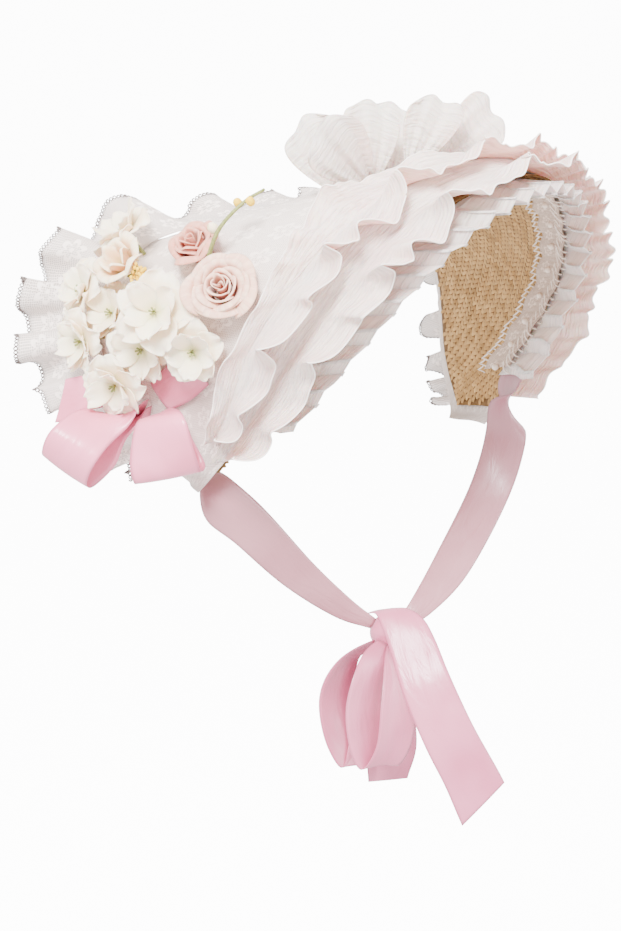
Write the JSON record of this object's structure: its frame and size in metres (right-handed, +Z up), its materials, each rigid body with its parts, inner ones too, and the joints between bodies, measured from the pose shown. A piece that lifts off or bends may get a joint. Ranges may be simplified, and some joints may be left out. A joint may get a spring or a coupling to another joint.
{
  "type": "straw half bonnet",
  "caption": "Woven straw half bonnet worn from ear to ear, edged with lace, chiffon and pleated frill, with fabric flowers, a satin bow and satin ties knotted under the chin.",
  "frame": {"origin": "inside top of the straw vault, where the crown of a head carries it", "axes": "+Z up, the open front faces -Y, the flowers and bow are on the -X side"},
  "size_m": [0.3033, 0.2295, 0.3583],
  "materials": {
    "straw": "plaited natural straw",
    "chiffon": "soft crinkled chiffon",
    "organza": "sheer pleated organza",
    "lace": "netted lace",
    "satin": "satin ribbon",
    "rose": "matt flower cloth",
    "blossom": "matt flower cloth",
    "leaf": "matt green wrap",
    "pollen": "dusty yellow"
  },
  "bodies": {
    "root": {"straw_base": "straw", "lace_cover": "lace", "lace_edge": "lace", "inner_lace": "lace", "chiffon_front": "chiffon", "chiffon_back": "chiffon", "petal_1": "chiffon", "petal_2": "chiffon", "petal_3": "chiffon", "petal_4": "chiffon", "petal_5": "chiffon", "petal_6": "chiffon", "petal_7": "chiffon", "inner_frill": "organza", "rose": "rose", "rosebud": "rose", "lotus": "blossom", "blossom_1": "blossom", "blossom_2": "blossom", "blossom_3": "blossom", "blossom_4": "blossom", "blossom_5": "blossom", "blossom_6": "blossom", "blossom_7": "blossom", "blossom_8": "blossom", "bud_1": "blossom", "bud_2": "blossom", "bud_3": "blossom", "lotus_base": "leaf", "sprig_stem": "leaf", "stamens": "pollen", "bow_loop_left": "satin", "bow_loop_right": "satin", "bow_band": "satin", "bow_tail": "satin", "tie_near": "satin", "tie_far": "satin", "chin_knot": "satin", "chin_loop_left": "satin", "chin_loop_right": "satin", "chin_tail_long": "satin", "chin_tail_short": "satin"}
  },
  "joints": []
}
